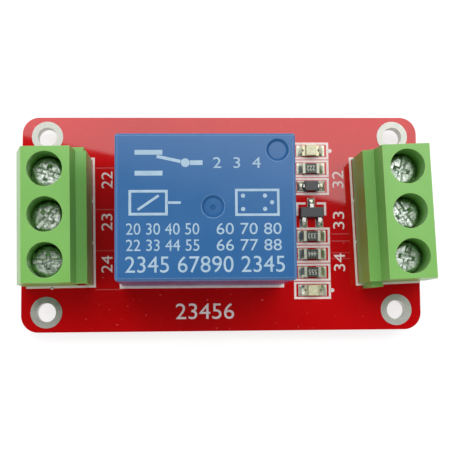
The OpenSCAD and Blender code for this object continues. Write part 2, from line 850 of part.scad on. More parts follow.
// Bent clamp cage with a threaded top, standing open: the wire goes in over its floor
module cage() {
    r = 0.4;
    height = cage_roof - cage_base;
    difference() {
        translate([-cage_len / 2, 0, cage_base + height / 2]) along_x(cage_len) difference() {
            rounded_rect(cage_w, height, r);
            translate([-cage_w / 2 + cage_side, -height / 2 + cage_floor]) {
                square([cage_w - 2 * cage_side, cage_window]);
            }
        }
        translate([0, 0, cage_top_z - CUT / 2]) cylinder(d = screw_d + 2 * thread_fit, h = cage_top + CUT);
    }
}

// Contact bar through the cage, bent down behind it into the pin that is soldered
module contact_bar() {
    translate([bar_leg + bar_t, 0, 0]) mirror([1, 0, 0]) along_y(bar_w) {
        bent_profile(bar_top, bar_leg + bar_t + bar_front, bar_t, bar_t * 1.3);
    }
    bar_pin();
}

module bar_pin() {
    span([bar_leg, -tag_pin_w / 2, pin_tip], [bar_leg + bar_t, tag_pin_w / 2, 0]);
}

module output_housing() {
    color("yellowgreen") at_output() housing();
}

module input_housing() {
    color("yellowgreen") at_input() housing();
}

module output_contact_bars() {
    color("silver") at_output() at_poles() contact_bar();
}

module input_contact_bars() {
    color("silver") at_input() at_poles() contact_bar();
}

module output_screw(number) {
    color("gainsboro") at_output() at_pole(number) screw(OUTPUT_SLOT_ANGLES[number - 1]);
}

module input_screw(number) {
    color("gainsboro") at_input() at_pole(number) screw(INPUT_SLOT_ANGLES[number - 1]);
}

module output_cage(number) {
    color("lightgray") at_output() at_pole(number) cage();
}

module input_cage(number) {
    color("lightgray") at_input() at_pole(number) cage();
}

module output_solder() {
    color("lightsteelblue") difference() {
        at_output_drills() solder_joint(tag_drill_d);
        at_output() at_poles() bar_pin();
    }
}

module input_solder() {
    color("lightsteelblue") difference() {
        at_input_drills() solder_joint(tag_drill_d);
        at_input() at_poles() bar_pin();
    }
}

// --- Surface-mounted parts ---

module at_row(y) {
    translate([column_x, y, seat_z]) children();
}

module both_ends() {
    children();
    mirror([1, 0, 0]) children();
}

module at_transistor_leads() {
    translate([0, sot_reach, 0]) children();
    for (s = [-1, 1]) translate([s * lead_gap / 2, -sot_reach, 0]) mirror([0, 1, 0]) children();
}

module surface_pads() {
    color("silver") {
        for (y = concat(RESISTOR_ROWS, LED_ROWS, [ROW_DIODE])) {
            at_row(y) both_ends() {
                translate([pad_mid, 0, -copper_t / 2]) cube([pad_len, pad_w, copper_t], center = true);
            }
        }
        at_row(transistor_y) at_transistor_leads() {
            translate([0, 0.1, -copper_t / 2]) cube([sot_pad.x, sot_pad.y, copper_t], center = true);
        }
    }
}

module chip_resistor(y) {
    glaze_t = 0.03;
    body_h = chip_h - 2 * cap_t;
    color("darkslategray") at_row(y) translate([0, 0, cap_t]) {
        translate([0, 0, body_h / 2]) {
            cube([chip_len - 2 * cap_t, chip_w - 2 * cap_t, body_h], center = true);
        }
        translate([0, 0, body_h + glaze_t / 2]) {
            cube([chip_len - 2 * cap_len - 2 * mould_fit, chip_w - 4 * cap_t, glaze_t], center = true);
        }
    }
}

// Metal wrapped over each end of the four resistors
module resistor_end_caps() {
    color("gainsboro") for (y = RESISTOR_ROWS) at_row(y) both_ends() difference() {
        span([chip_len / 2 - cap_len, -chip_w / 2, 0], [chip_len / 2, chip_w / 2, chip_h]);
        span([0, -chip_w / 2 + cap_t, cap_t], [chip_len / 2 - cap_t, chip_w / 2 - cap_t, chip_h - cap_t]);
    }
}

module led_carrier(y) {
    color("white") at_row(y) {
        span([-chip_len / 2 + cap_len, -chip_w / 2, 0], [chip_len / 2 - cap_len, chip_w / 2, led_base_h]);
    }
}

// Clear cap of a light-emitting diode, with sloping ends
module led_lens(y) {
    foot = chip_len / 2 - cap_len;
    slope = 0.12;
    color("khaki") at_row(y) translate([0, 0, led_base_h]) along_y(chip_w) {
        polygon([[-foot, 0], [foot, 0], [foot - slope, led_lens_h], [-foot + slope, led_lens_h]]);
    }
}

// Gilded ends of the light-emitting diodes, each with a half-round notch
module led_terminals() {
    notch_d = 0.6;
    color("gold") for (y = LED_ROWS) at_row(y) both_ends() difference() {
        span([chip_len / 2 - cap_len, -chip_w / 2, 0], [chip_len / 2, chip_w / 2, led_base_h]);
        translate([chip_len / 2, 0, -CUT]) cylinder(d = notch_d * 0.6, h = led_base_h + 2 * CUT);
    }
}

module flyback_diode() {
    color("dimgray") at_row(ROW_DIODE) translate([0, 0, lead_t]) {
        tapered_body(diode_len, chip_w, diode_h - lead_t, 0.1);
    }
}

// Flat lead that leaves a body at half its height, bends down and ends in a foot, along +X
module gull_lead(w, start, end, exit_z) {
    knee = end - foot_len;
    along_y(w) polygon([[start, exit_z], [start, exit_z + lead_t], [knee, exit_z + lead_t],
        [knee + lead_t, exit_z], [knee + lead_t, lead_t], [end, lead_t], [end, 0], [knee, 0],
        [knee, exit_z]]);
}

module diode_leads() {
    color("silver") at_row(ROW_DIODE) both_ends() difference() {
        gull_lead(0.35, diode_len / 2 - 0.02, diode_len / 2 + 0.1 + foot_len, diode_h / 2);
        translate([0, 0, lead_t]) tapered_body(diode_len, chip_w, diode_h - lead_t, 0.1);
    }
}

module transistor() {
    color("dimgray") at_row(transistor_y) translate([0, 0, lead_t]) {
        tapered_body(transistor_len, transistor_w, transistor_h - lead_t, 0.12);
    }
}

module transistor_leads() {
    body_half = transistor_w / 2;
    color("silver") at_row(transistor_y) difference() {
        at_transistor_leads() rotate([0, 0, 90]) {
            gull_lead(0.42, body_half - 0.02 - sot_reach, foot_len / 2 + 0.1, transistor_h / 2);
        }
        translate([0, 0, lead_t]) tapered_body(transistor_len, transistor_w, transistor_h - lead_t, 0.12);
    }
}

module surface_solder() {
    lead_end = diode_len / 2 + 0.1 + foot_len;
    sot_end = sot_reach + foot_len / 2 + 0.1;
    color("lightsteelblue") {
        for (y = RESISTOR_ROWS) at_row(y) both_ends() {
            translate([chip_len / 2, 0, 0]) solder_fillet(fillet_run, chip_h * 0.8, chip_w);
        }
        for (y = LED_ROWS) at_row(y) both_ends() {
            translate([chip_len / 2, 0, 0]) solder_fillet(fillet_run, led_base_h * 0.9, chip_w);
        }
        at_row(ROW_DIODE) both_ends() {
            translate([lead_end, 0, 0]) {
                solder_fillet(pad_mid + pad_len / 2 - lead_end, lead_t * 2, chip_w * 0.7);
            }
        }
        at_row(transistor_y) at_transistor_leads() {
            translate([0, sot_end - sot_reach, 0]) rotate([0, 0, 90]) solder_fillet(0.3, lead_t * 2, 0.7);
        }
    }
}

circuit_board();
fixing_hole_plating();
pin_lands();
surface_pads();
relay_case();
relay_base();
relay_bobbin();
relay_winding();
relay_core();
relay_yoke();
relay_common_strip();
relay_coil_pins();
relay_open_strip();
relay_closed_strip();
relay_open_contact();
relay_closed_contact();
relay_armature();
relay_contact_spring();
relay_spring_leg();
relay_moving_contact();
relay_solder();
output_housing();
output_contact_bars();
output_solder();
output_screw(1);  // output_screw_1
output_screw(2);  // output_screw_2
output_screw(3);  // output_screw_3
output_cage(1);  // output_cage_1
output_cage(2);  // output_cage_2
output_cage(3);  // output_cage_3
input_housing();
input_contact_bars();
input_solder();
input_screw(1);  // input_screw_1
input_screw(2);  // input_screw_2
input_screw(3);  // input_screw_3
input_cage(1);  // input_cage_1
input_cage(2);  // input_cage_2
input_cage(3);  // input_cage_3
led_carrier(ROW_LED_SUPPLY);  // supply_led_carrier
led_lens(ROW_LED_SUPPLY);  // supply_led_lens
led_carrier(ROW_LED_RELAY);  // relay_led_carrier
led_lens(ROW_LED_RELAY);  // relay_led_lens
led_terminals();
chip_resistor(RESISTOR_ROWS[0]);  // resistor_1
chip_resistor(RESISTOR_ROWS[1]);  // resistor_2
chip_resistor(RESISTOR_ROWS[2]);  // resistor_3
chip_resistor(RESISTOR_ROWS[3]);  // resistor_4
resistor_end_caps();
flyback_diode();
diode_leads();
transistor();
transistor_leads();
surface_solder();
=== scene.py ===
import json
import math
import random

import bmesh
import bpy
from mathutils import Matrix, Vector


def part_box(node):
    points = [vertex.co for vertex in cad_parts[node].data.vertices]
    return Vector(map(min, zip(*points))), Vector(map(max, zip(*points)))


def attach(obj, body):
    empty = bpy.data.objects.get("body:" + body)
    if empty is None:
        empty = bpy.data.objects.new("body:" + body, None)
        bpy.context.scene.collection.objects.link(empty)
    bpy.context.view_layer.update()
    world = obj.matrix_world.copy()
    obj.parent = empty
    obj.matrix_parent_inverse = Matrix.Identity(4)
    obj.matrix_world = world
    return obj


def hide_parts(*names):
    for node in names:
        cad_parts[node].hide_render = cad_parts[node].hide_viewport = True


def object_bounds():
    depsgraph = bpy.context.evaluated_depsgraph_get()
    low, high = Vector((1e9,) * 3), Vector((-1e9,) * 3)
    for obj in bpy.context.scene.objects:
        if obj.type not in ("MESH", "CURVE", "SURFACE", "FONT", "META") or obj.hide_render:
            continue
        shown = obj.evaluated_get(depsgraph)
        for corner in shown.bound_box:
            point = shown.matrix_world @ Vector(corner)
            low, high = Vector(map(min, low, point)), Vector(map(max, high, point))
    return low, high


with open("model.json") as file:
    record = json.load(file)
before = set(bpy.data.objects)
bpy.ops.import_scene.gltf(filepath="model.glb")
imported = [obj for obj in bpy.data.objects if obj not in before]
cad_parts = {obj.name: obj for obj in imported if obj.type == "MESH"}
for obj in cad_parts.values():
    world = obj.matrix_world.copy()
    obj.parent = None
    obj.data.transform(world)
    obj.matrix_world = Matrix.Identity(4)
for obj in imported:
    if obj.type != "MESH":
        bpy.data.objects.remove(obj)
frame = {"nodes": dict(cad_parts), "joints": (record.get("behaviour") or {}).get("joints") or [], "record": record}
CAD_BOX = [list(corner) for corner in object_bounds()]
NODES = frame["nodes"]
JOINTS = {j["name"]: j for j in frame["joints"]}
MM = 0.001
rng = random.Random(5)


def box_mm(node):
    low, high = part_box(node)
    return low / MM, high / MM


def middle_of(node):
    low, high = box_mm(node)
    return (low + high) / 2


BOARD_TOP = box_mm("circuit_board")[1].z
CASE_LOW, CASE_HIGH = box_mm("relay_case")
CASE_MID = middle_of("relay_case")
COLUMN_X = middle_of("resistor_1").x          # the surface-mounted parts stand in one column


# --- Camera ---

VIEW_PX = 450
FOCAL_PX = 1020.9
SENSOR_MM = 36
CAMERA_MM = (-5.75, -11.67, 121.3 + BOARD_TOP)
CAMERA_TURN = (3.0463, -0.0107, 0.0761)       # rotation vector, world to camera with y down

camera_axis = Vector(CAMERA_TURN)
to_camera = Matrix.Rotation(camera_axis.length, 3, camera_axis.normalized())
flip = Matrix(((1, 0, 0), (0, -1, 0), (0, 0, -1)))
camera_data = bpy.data.cameras.new("camera")
camera_data.sensor_width = SENSOR_MM
camera_data.lens = FOCAL_PX / VIEW_PX * SENSOR_MM
camera_data.clip_start = 5 * MM
camera = bpy.data.objects.new("camera", camera_data)
camera_place = Matrix.Translation(Vector(CAMERA_MM) * MM)
camera.matrix_world = camera_place @ (to_camera.transposed() @ flip).to_4x4()
bpy.context.scene.collection.objects.link(camera)
bpy.context.scene.camera = camera
bpy.context.scene.view_settings.view_transform = "Standard"


# --- Materials ---

class Shader:
    """A Principled material and short ways to wire what feeds it."""

    def __init__(self, name, roughness=0.5, metallic=0.0, edge=0.0, **sockets):
        self.material = bpy.data.materials.new(name)
        self.material.use_nodes = True
        self.tree = self.material.node_tree
        self.surface = self.tree.nodes["Principled BSDF"]
        self.surface.inputs["Roughness"].default_value = roughness
        self.surface.inputs["Metallic"].default_value = metallic
        for key, value in sockets.items():
            self.surface.inputs[key.replace("_", " ")].default_value = value
        self.place = self.node("ShaderNodeTexCoord").outputs["Object"]
        self.rounded = None
        if edge:
            bevel = self.node("ShaderNodeBevel", samples=4)
            bevel.inputs["Radius"].default_value = edge * MM
            self.rounded = bevel.outputs[0]
            self.link(self.rounded, self.surface.inputs["Normal"])

    def node(self, kind, **settings):
        made = self.tree.nodes.new(kind)
        for key, value in settings.items():
            setattr(made, key, value)
        return made

    def link(self, source, target):
        self.tree.links.new(source, target)

    def noise(self, scale, detail=3.0, stretch=(1, 1, 1)):
        """Noise with about one swell in every `scale` millimetres."""
        mapping = self.node("ShaderNodeMapping")
        mapping.inputs["Scale"].default_value = [s / (scale * MM) for s in stretch]
        self.link(self.place, mapping.inputs["Vector"])
        made = self.node("ShaderNodeTexNoise")
        made.inputs["Scale"].default_value = 1.0
        made.inputs["Detail"].default_value = detail
        self.link(mapping.outputs[0], made.inputs["Vector"])
        return made.outputs["Fac"]

    def ramp(self, source, stops):
        made = self.node("ShaderNodeValToRGB")
        ramp = made.color_ramp
        while len(ramp.elements) < len(stops):
            ramp.elements.new(0.5)
        for element, (position, colour) in zip(ramp.elements, stops):
            element.position = position
            element.color = (*colour, 1)
        self.link(source, made.inputs[0])
        return made.outputs[0]

    def mix(self, factor, a, b):
        made = self.node("ShaderNodeMix", data_type="RGBA")
        for value, socket in ((factor, made.inputs[0]), (a, made.inputs[6]), (b, made.inputs[7])):
            if isinstance(value, bpy.types.NodeSocket):
                self.link(value, socket)
            elif isinstance(value, (int, float)):
                socket.default_value = value
            else:
                socket.default_value = (*value, 1)
        return made.outputs[2]

    def spread(self, source, low, high, start=0.3, end=0.7):
        """Carries start..end of a value to low..high."""
        made = self.node("ShaderNodeMapRange")
        for key, value in (("From Min", start), ("From Max", end), ("To Min", low), ("To Max", high)):
            made.inputs[key].default_value = value
        self.link(source, made.inputs["Value"])
        return made.outputs[0]

    def edges(self):
        """1 on a rounded-off edge and 0 on the faces between."""
        true_normal = self.node("ShaderNodeNewGeometry").outputs["Normal"]
        product = self.node("ShaderNodeVectorMath", operation="DOT_PRODUCT")
        self.link(self.rounded, product.inputs[0])
        self.link(true_normal, product.inputs[1])
        turned_away, flat = 0.8, 0.99
        return self.spread(product.outputs["Value"], 1, 0, turned_away, flat)

    def colour(self, source):
        self.link(source, self.surface.inputs["Base Color"])

    def rough(self, source):
        self.link(source, self.surface.inputs["Roughness"])

    def bump(self, source, height_mm):
        made = self.node("ShaderNodeBump")
        made.inputs["Distance"].default_value = height_mm * MM
        self.link(source, made.inputs["Height"])
        normal = self.surface.inputs["Normal"]
        if normal.is_linked:
            self.link(normal.links[0].from_socket, made.inputs["Normal"])
        self.link(made.outputs[0], normal)


def srgb(r, g, b):
    """Linear colour of an 8-bit display colour."""
    return tuple(c / 255 / 12.92 if c <= 10 else ((c / 255 + 0.055) / 1.055) ** 2.4 for c in (r, g, b))


def finish(name, dark, light, scale, roughness, grain=0.15, bump=0.003, edge_highlight=None, **sockets):
    """Colour and gloss that wander a little over a fine grain, with a highlight painted on the edges where its
    colour is given.
    """
    s = Shader(name, **sockets)
    broad = s.noise(scale)
    fine = s.noise(grain, detail=2)
    swells = s.ramp(broad, [(0.3, dark), (0.7, light)])
    grains = s.ramp(fine, [(0.25, dark), (0.75, light)])
    grain_share = 0.4
    colour = s.mix(grain_share, swells, grains)
    # painted highlight: the rounded edges take the paler colour given for them
    if edge_highlight:
        colour = s.mix(s.edges(), colour, edge_highlight)
    s.colour(colour)
    s.rough(s.spread(broad, roughness * 0.85, roughness * 1.15))
    s.bump(fine, bump)
    return s.material


def board_material():
    """Red mask under a clear gloss, with the bare laminate on the cut edges."""
    s = Shader("solder_mask", roughness=0.32, Coat_Weight=1.0, Coat_Roughness=0.035, Coat_IOR=1.5)
    s.surface.inputs["Specular Tint"].default_value = (1.0, 0.06, 0.06, 1)
    parts = s.node("ShaderNodeSeparateXYZ")
    s.link(s.node("ShaderNodeNewGeometry").outputs["Normal"], parts.inputs[0])
    upright = s.node("ShaderNodeMath", operation="ABSOLUTE")
    s.link(parts.outputs["Z"], upright.inputs[0])
    is_face = s.node("ShaderNodeMath", operation="GREATER_THAN")
    is_face.inputs[1].default_value = 0.6      # cosine between a flat face and a cut edge
    s.link(upright.outputs[0], is_face.inputs[0])
    mask = s.ramp(s.noise(9, detail=2), [(0.3, srgb(180, 0, 3)), (0.7, srgb(192, 0, 5))])
    specks = s.spread(s.noise(0.55, detail=1), 0, 1, 0.74, 0.78)
    mask = s.mix(specks, mask, srgb(214, 70, 70))
    weave = s.noise(0.4, detail=2, stretch=(1, 1, 4))
    laminate = s.ramp(weave, [(0.3, srgb(196, 150, 112)), (0.7, srgb(230, 190, 150))])
    s.colour(s.mix(is_face.outputs[0], laminate, mask))
    s.rough(s.spread(s.noise(3), 0.26, 0.38))
    s.bump(s.noise(4.5, detail=1), 0.012)
    return s.material


def zinc_material():
    """Bright plating over a stamped, scratched head, which breaks into small facets, with a highlight painted
    near-white on its edges.
    """
    s = Shader("bright_zinc", metallic=1.0, edge=0.07)
    facet_mm = 0.26
    facets = s.node("ShaderNodeTexVoronoi")
    facets.inputs["Scale"].default_value = 1 / (facet_mm * MM)
    s.link(s.place, facets.inputs["Vector"])
    tone = s.ramp(facets.outputs["Color"], [(0.3, srgb(160, 176, 160)), (0.7, srgb(234, 241, 234))])
    # painted highlight: the rounded edges of head and slots turn near-white
    s.colour(s.mix(s.edges(), tone, srgb(252, 254, 252)))
    s.rough(s.spread(s.noise(0.3), 0.28, 0.42))
    s.bump(s.noise(0.3, detail=2), 0.038)
    s.bump(s.noise(0.14, detail=1, stretch=(1, 3, 1)), 0.005)
    return s.material


def lens_material():
    s = Shader("lamp_lens", roughness=0.16, IOR=1.52, Transmission_Weight=0.2, edge=0.08)
    s.colour(s.ramp(s.noise(0.6), [(0.3, srgb(206, 202, 150)), (0.7, srgb(244, 242, 208))]))
    s.bump(s.noise(0.3), 0.006)
    return s.material


def winding_material():
    """Enamelled wire laid in close turns round the bobbin, with painted shade in the grooves and painted highlight
    on the turns.
    """
    s = Shader("winding", metallic=0.9, roughness=0.3)
    wire_mm = 0.16
    wave = s.node("ShaderNodeTexWave", wave_type="BANDS", bands_direction="Z")
    wave.inputs["Scale"].default_value = math.pi / (10 * wire_mm * MM)
    s.link(s.place, wave.inputs["Vector"])
    # painted shade and highlight: the colour follows the bump's bands, dark between turns and pale on them
    s.colour(s.ramp(wave.outputs["Fac"], [(0.2, srgb(110, 52, 26)), (0.8, srgb(196, 108, 62))]))
    s.bump(wave.outputs["Fac"], 0.03)
    return s.material


def metal(name, dark, light, scale, roughness, **more):
    return finish(name, srgb(*dark), srgb(*light), scale, roughness, metallic=1.0, **more)


def plastic(name, dark, light, scale, roughness, edge_highlight=None, **more):
    return finish(name, srgb(*dark), srgb(*light), scale, roughness, edge_highlight=edge_highlight and srgb(*edge_highlight), **more)


# Colours are 8-bit display colours, dark and light; then the swells' size in mm and the roughness
SLOTS = {
    "pcb": board_material(),
    "tin": metal("tinned_pad", (180, 181, 172), (206, 207, 200), 0.9, 0.5, bump=0.006),
    "solder": metal("solder", (176, 178, 158), (218, 218, 198), 0.5, 0.42, grain=0.3, bump=0.02),
    # relay case: its rounded edges carry a painted highlight in paler blue
    "case_blue": plastic("case_plastic", (43, 92, 142), (51, 100, 151), 6, 0.18,
                         edge_highlight=(140, 174, 214), edge=0.18, Specular_IOR_Level=0.36),
    "base_blue": plastic("base_plastic", (34, 52, 92), (44, 64, 108), 3, 0.45),
    "bobbin": plastic("bobbin_plastic", (216, 208, 186), (230, 224, 204), 3, 0.5),
    "winding": winding_material(),
    "iron": metal("plated_iron", (150, 150, 148), (190, 190, 186), 2, 0.34),
    "bronze": metal("spring_bronze", (182, 132, 74), (212, 164, 100), 2, 0.3),
    "contact": metal("silver_contact", (206, 203, 194), (232, 230, 222), 0.6, 0.2),
    "pin_tin": metal("tinned_wire", (190, 190, 184), (226, 226, 220), 0.7, 0.22),
    # terminal housings: their rounded edges carry a painted highlight in paler green
    "housing_green": plastic("housing_plastic", (108, 168, 72), (120, 180, 85), 6, 0.34,
                             edge_highlight=(172, 214, 128), edge=0.1, Specular_IOR_Level=0.55),
    "bar": metal("tinned_bar", (168, 164, 150), (206, 202, 190), 0.9, 0.3),
    "screw": zinc_material(),
    "cage": metal("zinc_plate", (160, 164, 166), (200, 204, 204), 0.8, 0.34),
    "led_white": plastic("lamp_carrier", (222, 216, 190), (236, 232, 212), 0.5, 0.45),
    "led_lens": lens_material(),
    "gilt": metal("gilt", (176, 172, 138), (208, 204, 174), 0.4, 0.36),
    "chip": plastic("chip_glaze", (52, 58, 50), (72, 78, 68), 0.4, 0.3),
    "end_cap": metal("chip_end", (160, 162, 146), (192, 194, 178), 0.3, 0.42, bump=0.006),
    # transistor body: its rounded edges carry a painted highlight in paler grey
    "epoxy": plastic("moulded_epoxy", (58, 58, 60), (80, 80, 82), 0.4, 0.42,
                     edge_highlight=(112, 112, 112), edge=0.05),
}
INK = plastic("relay_ink", (138, 168, 188), (166, 190, 206), 0.7, 0.5)
# matt plastic of the marks, painted a shade darker than the case as the shade in their recesses
SHADED_MARK_PLASTIC = plastic("case_marks", (34, 84, 134), (42, 94, 146), 3, 0.6, Specular_IOR_Level=0.15)
SILK = plastic("board_ink", (222, 202, 197), (240, 226, 221), 0.6, 0.5)
CODE_INK = plastic("chip_ink", (176, 180, 164), (206, 208, 194), 0.3, 0.5)
# mask over copper edges: partly the copper's own tone, partly a painted sheen along the ridges
COPPER_EDGE_AND_SHEEN = plastic("mask_over_copper_and_sheen", (186, 52, 54), (206, 74, 74), 1.5, 0.2)
slot_of = {part["node"]: part["material_slot"] for part in frame["record"]["subparts"]}
for node, obj in NODES.items():
    obj.data.materials.clear()
    obj.data.materials.append(SLOTS[slot_of[node]])


# --- Building pieces ---

WELD_MM = 1e-5


def add_piece(name, bm, material, body, smooth=35, replaces=()):
    """Makes an object of a bmesh drawn in millimetres and lets it ride on its body."""
    bmesh.ops.remove_doubles(bm, verts=bm.verts, dist=WELD_MM)
    bmesh.ops.recalc_face_normals(bm, faces=bm.faces)
    bmesh.ops.scale(bm, vec=(MM, MM, MM), verts=bm.verts)
    mesh = bpy.data.meshes.new(name)
    for face in bm.faces:
        face.smooth = bool(smooth)
    bm.to_mesh(mesh)
    bm.free()
    if smooth:
        mesh.set_sharp_from_angle(angle=math.radians(smooth))
    mesh.materials.append(material)
    obj = bpy.data.objects.new(name, mesh)
    bpy.context.scene.collection.objects.link(obj)
    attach(obj, body)
    if replaces:
        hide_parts(*replaces)
    return obj


def prism(bm, outline, z0, z1):
    """Closed upright prism over a flat outline of (x, y) points."""
    low = [bm.verts.new((x, y, z0)) for x, y in outline]
    high = [bm.verts.new((x, y, z1)) for x, y in outline]
    bm.faces.new(list(reversed(low)))
    bm.faces.new(high)
    for k in range(len(outline)):
        n = (k + 1) % len(outline)
        bm.faces.new((low[k], low[n], high[n], high[k]))


def ribbon(bm, points, width, z0, z1, closed=False):
    """Line of even width with mitred corners, as one closed prism or ring."""
    pts = [Vector(p) for p in points]
    count = len(pts)
    sides = ([], [])
    for k, p in enumerate(pts):
        before = pts[k - 1] if k or closed else None
        after = pts[(k + 1) % count] if k < count - 1 or closed else None
        d1 = (p - before).normalized() if before is not None else (after - p).normalized()
        d2 = (after - p).normalized() if after is not None else d1
        n1 = Vector((-d1.y, d1.x))
        bisector = (n1 + Vector((-d2.y, d2.x))).normalized()
        reach = width / 2 / max(bisector.dot(n1), 0.3)
        sides[0].append(p + bisector * reach)
        sides[1].append(p - bisector * reach)
    if not closed:
        prism(bm, [tuple(v) for v in sides[0] + sides[1][::-1]], z0, z1)
        return
    rings = [[bm.verts.new((v.x, v.y, z)) for v in side] for side in sides for z in (z0, z1)]
    for k in range(count):
        n = (k + 1) % count
        for a, b in ((0, 1), (1, 3), (3, 2), (2, 0)):
            bm.faces.new((rings[a][k], rings[a][n], rings[b][n], rings[b][k]))


def circle(x, y, r, sides=24):
    angles = [2 * math.pi * k / sides for k in range(sides)]
    return [(x + r * math.cos(a), y + r * math.sin(a)) for a in angles]


def rectangle(x0, y0, x1, y1):
    return [(x0, y0), (x1, y0), (x1, y1), (x0, y1)]


def figures(bm, text, centre, size, z0, z1, quarter_turns=0):
    """Plain figures that fill a box of the given (length, height), read along X or turned from it."""
    curve = bpy.data.curves.new("figures", "FONT")
    curve.body = text
    curve.extrude = 0.5
    curve.resolution_u = 4
    maker = bpy.data.objects.new("figures", curve)
    bpy.context.scene.collection.objects.link(maker)
    bpy.context.view_layer.update()
    mesh = bpy.data.meshes.new_from_object(maker.evaluated_get(bpy.context.evaluated_depsgraph_get()))
    xs = [v.co.x for v in mesh.vertices]
    ys = [v.co.y for v in mesh.vertices]
    scale = (size[0] / (max(xs) - min(xs)), size[1] / (max(ys) - min(ys)))
    middle = ((max(xs) + min(xs)) / 2, (max(ys) + min(ys)) / 2)
    for v in mesh.vertices:
        x = (v.co.x - middle[0]) * scale[0]
        y = (v.co.y - middle[1]) * scale[1]
        for _ in range(quarter_turns):
            x, y = -y, x
        v.co = (centre[0] + x, centre[1] + y, z0 if v.co.z < 0 else z1)
    bm.from_mesh(mesh)
    bpy.data.objects.remove(maker)
    bpy.data.curves.remove(curve)
    bpy.data.meshes.remove(mesh)


def cushion(bm, x, y, half_x, half_y, z0, height, steps=10):
    """Closed pad; height(u, v) gives its top over u and v from -1 to 1."""
    across = [2 * k / steps - 1 for k in range(steps + 1)]

    def sheet(level):
        return [[bm.verts.new((x + u * half_x, y + v * half_y, level(u, v))) for v in across]
                for u in across]

    top = sheet(lambda u, v: z0 + height(u, v))
    foot = sheet(lambda u, v: z0)
    for i in range(steps):
        for j in range(steps):
            bm.faces.new((top[i][j], top[i + 1][j], top[i + 1][j + 1], top[i][j + 1]))
            bm.faces.new((foot[i][j], foot[i][j + 1], foot[i + 1][j + 1], foot[i + 1][j]))
    for k in range(steps):
        for a, b in (((k, 0), (k + 1, 0)), ((steps, k), (steps, k + 1)),
                     ((k + 1, steps), (k, steps)), ((0, k + 1), (0, k))):
            bm.faces.new((foot[a[0]][a[1]], foot[b[0]][b[1]], top[b[0]][b[1]], top[a[0]][a[1]]))


def turned(bm, rings, sides=48, centre=(0, 0)):
    """Closed turned body; each ring is its height and its radius, a number or a function of the angle."""
    angles = [2 * math.pi * k / sides for k in range(sides)]
    loops = []
    for z, radius in rings:
        loop = []
        for a in angles:
            r = radius(a) if callable(radius) else radius
            loop.append(bm.verts.new((centre[0] + r * math.cos(a), centre[1] + r * math.sin(a), z)))
        loops.append(loop)
    for low, high in zip(loops, loops[1:]):
        for k in range(sides):
            n = (k + 1) % sides
            bm.faces.new((low[k], low[n], high[n], high[k]))
    bm.faces.new(list(reversed(loops[0])))
    bm.faces.new(loops[-1])


# --- Print and traces on the board ---

INK_T = 0.022
SINK = 0.003                                  # how far a print reaches into what carries it
SILK_Z = (BOARD_TOP - SINK, BOARD_TOP + INK_T)
SILK_LINE = 0.26
SILK_BOLD = 0.3
LAMPS = ("supply_led_carrier", "relay_led_carrier")
CHIP_NODES = (LAMPS[0], "resistor_1", "flyback_diode", "resistor_2", "resistor_3", "resistor_4", LAMPS[1])


def block_frame(side):
    """Middle screw of a block, the way along its row and the way to its back wall."""
    first, middle, last = (Vector(JOINTS[f"{side}_screw_{k}_turn"]["pos_m"][:2]) / MM for k in (1, 2, 3))
    along = (first - last).normalized()
    return middle, along, Vector((along.y, -along.x))


def box_line(bm, x, y, half_x, half_y, width):
    outline = rectangle(x - half_x, y - half_y, x + half_x, y + half_y)
    ribbon(bm, outline, width, *SILK_Z, closed=True)


def chip_boxes(bm):
    """A box round each chip, a dot by each lamp's and a bracket at each end of the transistor."""
    half_x, half_y = 2.07, 0.9
    for name in CHIP_NODES:
        box_line(bm, COLUMN_X, middle_of(name).y, half_x, half_y, SILK_LINE)
    dot_gap, dot_r = 0.3, 0.24
    for name in LAMPS:
        prism(bm, circle(COLUMN_X + half_x + dot_gap, middle_of(name).y, dot_r), *SILK_Z)
    y = middle_of("transistor").y
    reach, top, foot, arm = 1.68, 1.15, -0.3, 1.0
    for side in (-1, 1):
        corner = COLUMN_X + side * reach
        bracket = [(corner - side * arm, y + top), (corner, y + top), (corner, y + foot)]
        ribbon(bm, bracket, SILK_LINE, *SILK_Z)


def block_outlines(bm):
    """A line round each block's foot, open at the wire side, with ticks between its poles."""
    back, half_len, half_pitch, tick_len = 4.62, 7.62, 2.5, 0.5
    for side, front in (("output", -3.4), ("input", -2.9)):
        middle, along, inward = block_frame(side)
        reach = ((front, half_len), (back, half_len), (back, -half_len), (front, -half_len))
        corners = [middle + inward * d + along * e for d, e in reach]
        ribbon(bm, [tuple(p) for p in corners], SILK_LINE, *SILK_Z)
        for between in (-half_pitch, half_pitch):
            tick = middle + inward * (back - SILK_LINE / 2) + along * between
            ribbon(bm, [tuple(tick - inward * tick_len), tuple(tick)], SILK_BOLD, *SILK_Z)


def board_figures(bm):
    """Numbers of the terminals and of the board, where such a board has its labels."""
    terminals = ((22, -13.68, (5.25, 0.2, -4.8), (2.0, 1.3)),
                 (32, 14.05, (5.25, 0.3, -4.75), (2.1, 1.36)))
    for first, x, rows, size in terminals:
        for k, y in enumerate(rows):
            figures(bm, str(first + k), (x, y), size, *SILK_Z, quarter_turns=1)
    figures(bm, "23456", (-2.1, -10.45), (6.9, 1.85), *SILK_Z)


def board_print():
    bm = bmesh.new()
    chip_boxes(bm)
    block_outlines(bm)
    gap = 0.1
    case_half = (CASE_HIGH - CASE_LOW) / 2
    box_line(bm, CASE_MID.x, CASE_MID.y, case_half.x + gap, case_half.y + gap, SILK_BOLD)
    prism(bm, circle(-20.1, -7.62, 0.16), *SILK_Z)
    board_figures(bm)
    add_piece("board_print", bm, SILK, "board", smooth=0)


